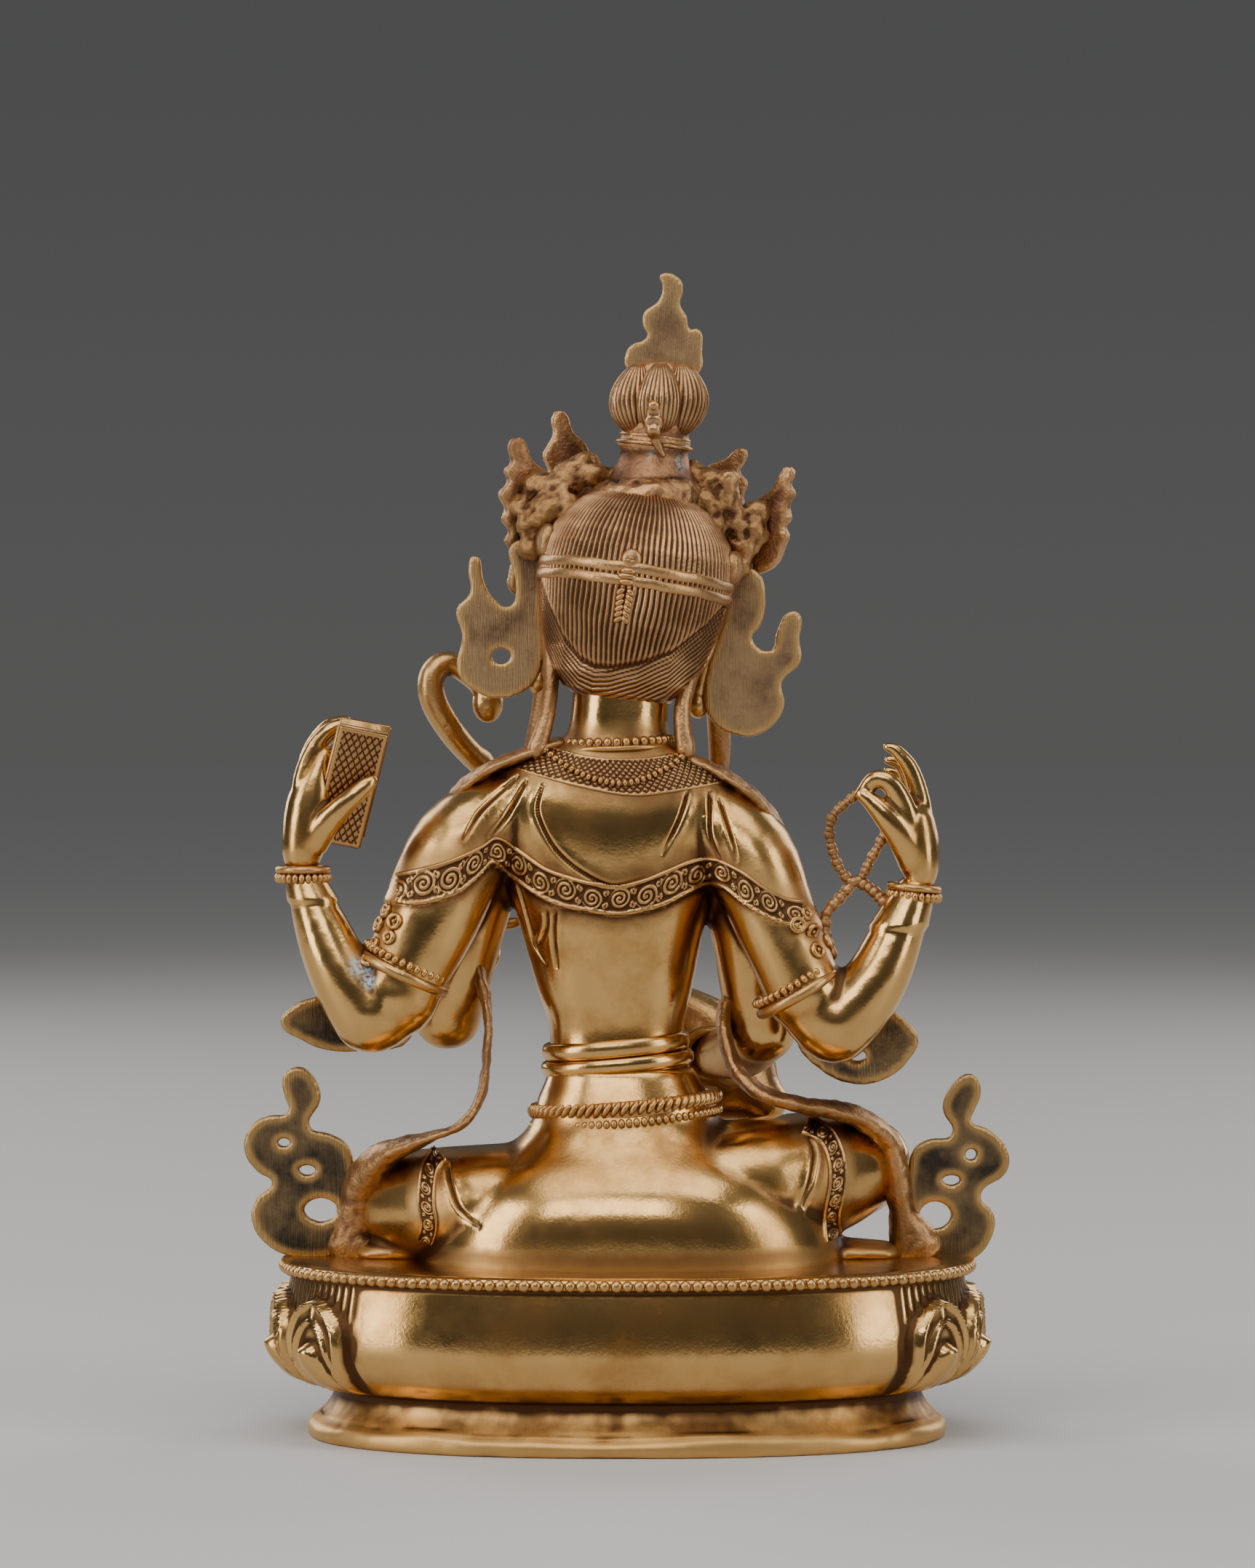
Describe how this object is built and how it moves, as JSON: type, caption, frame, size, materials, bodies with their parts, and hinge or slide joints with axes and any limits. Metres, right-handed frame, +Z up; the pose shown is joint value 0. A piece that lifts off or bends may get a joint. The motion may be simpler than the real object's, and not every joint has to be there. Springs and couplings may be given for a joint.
{
  "type": "saraswati statue",
  "caption": "Cast brass statue of a seated four-armed goddess with book, rosary and lute, leafed crown and scrolled scarf ends, on an oval lotus base with a plain back panel.",
  "frame": {"origin": "centre of the base's flat underside, on the floor", "axes": "+Z up the figure; -Y the way the figure faces, +Y out of its back; +X to the figure's own left, the side of the book"},
  "size_m": [0.1457, 0.0854, 0.2203],
  "materials": {
    "figure_brass": "polished brass with coppery brown patina in the recesses and file marks on the flat scrolls",
    "base_brass": "polished brass with coppery brown patina round the rim and petals"
  },
  "bodies": {
    "root": {"goddess_figure": "figure_brass", "lotus_base": "base_brass"}
  },
  "joints": []
}
